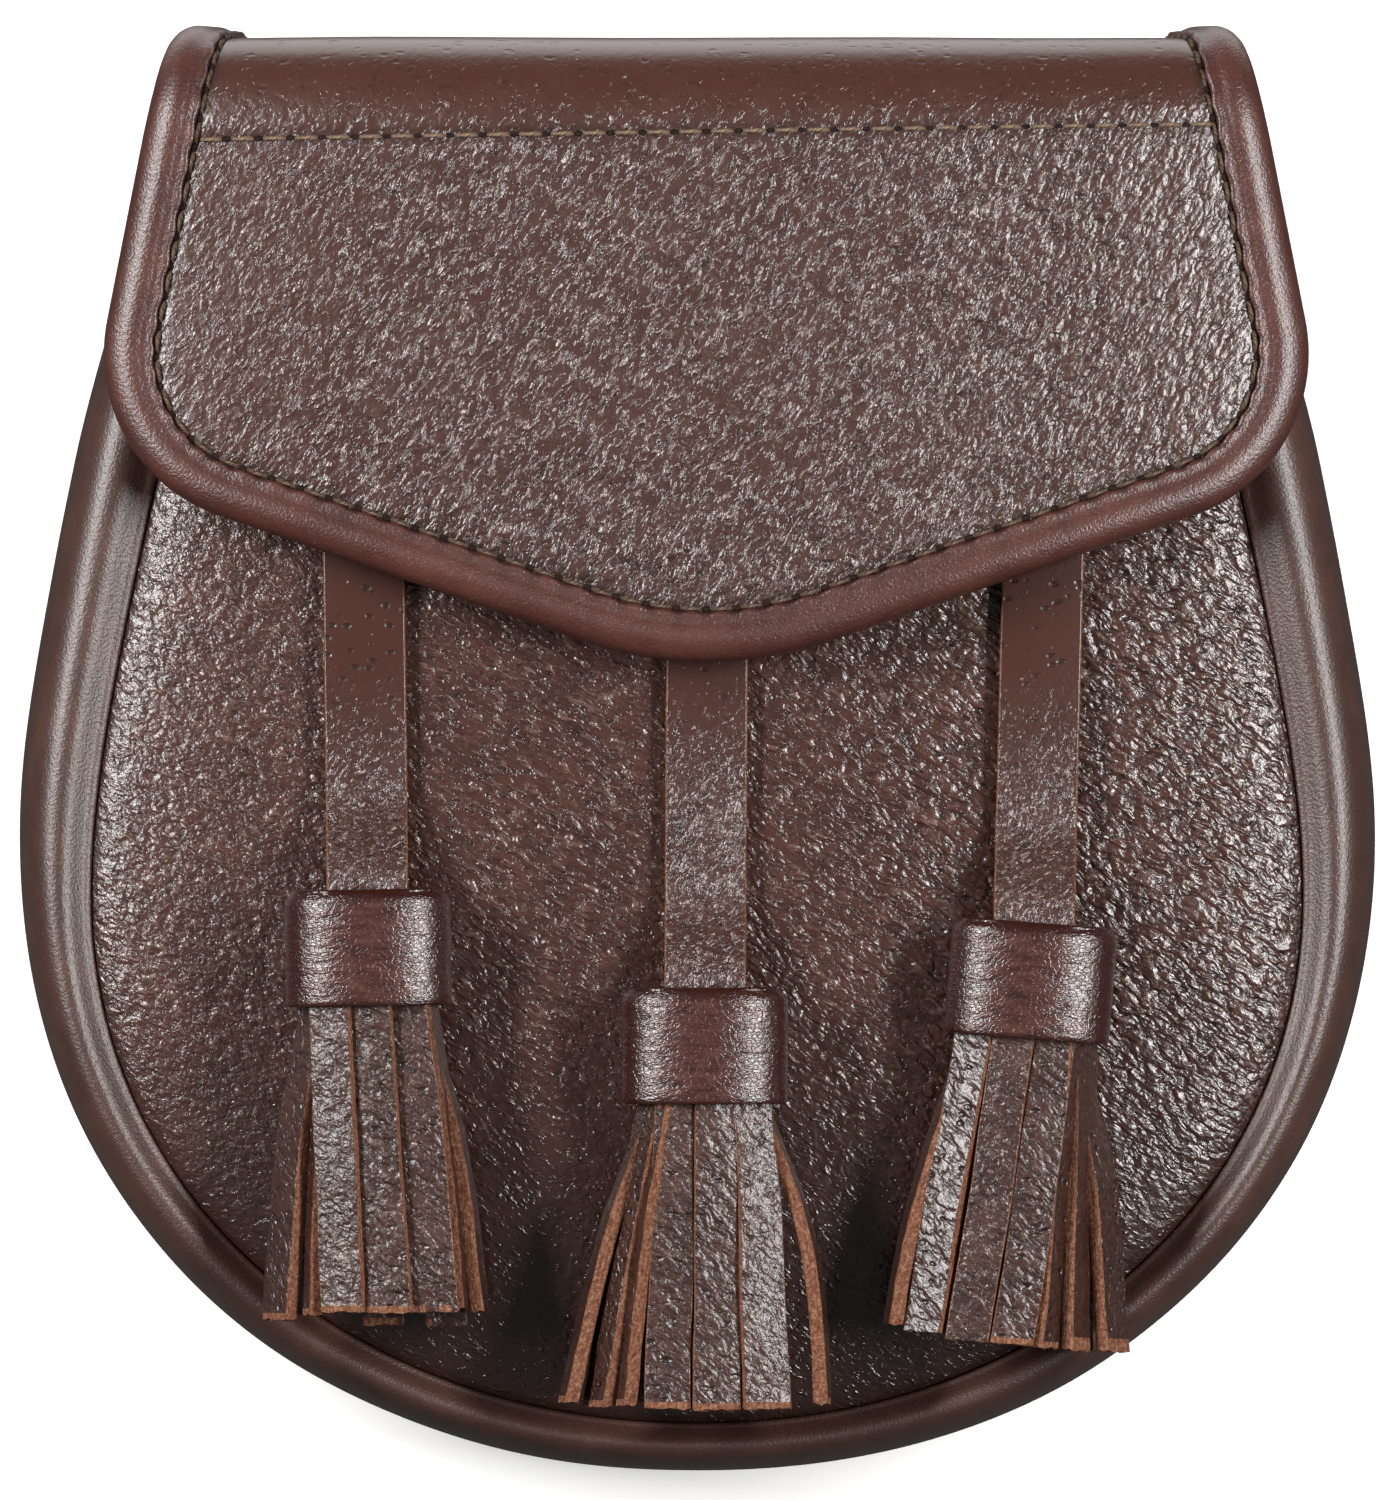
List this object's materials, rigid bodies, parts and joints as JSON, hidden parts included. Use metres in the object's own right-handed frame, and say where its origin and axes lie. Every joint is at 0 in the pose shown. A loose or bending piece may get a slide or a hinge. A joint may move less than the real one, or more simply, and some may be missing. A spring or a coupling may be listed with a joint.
{
  "type": "sporran pouch",
  "caption": "Leather day sporran pouch with a rounded hollow body, a puffy side band, a pointed bound flap, hanging strip tassels and belt loops on its back.",
  "frame": {"origin": "the middle of the pouch's footprint, on the surface that it lies on", "axes": "+X to the right of the front as the picture shows it, +Y towards the folded top, +Z out of the front"},
  "size_m": [0.19, 0.2028, 0.0525],
  "materials": {
    "grained_leather": "embossed pigskin grain, waxed, satin",
    "band_leather": "smooth, softly waxed",
    "bound_leather": "smooth with fine creases, satin, reddish",
    "fringe_leather": "grained face with raw orange-brown cut edges",
    "brass": "satin"
  },
  "bodies": {
    "root": {"back_panel": "band_leather", "gusset": "band_leather", "front_panel": "grained_leather", "flap": "grained_leather", "flap_binding": "bound_leather", "strap_left": "grained_leather", "strap_middle": "grained_leather", "strap_right": "grained_leather", "cap_left": "bound_leather", "cap_middle": "bound_leather", "cap_right": "bound_leather", "fringe_left": "fringe_leather", "fringe_middle": "fringe_leather", "fringe_right": "fringe_leather", "belt_loop_left": "band_leather", "belt_loop_right": "band_leather", "snap_stud": "brass"}
  },
  "joints": []
}
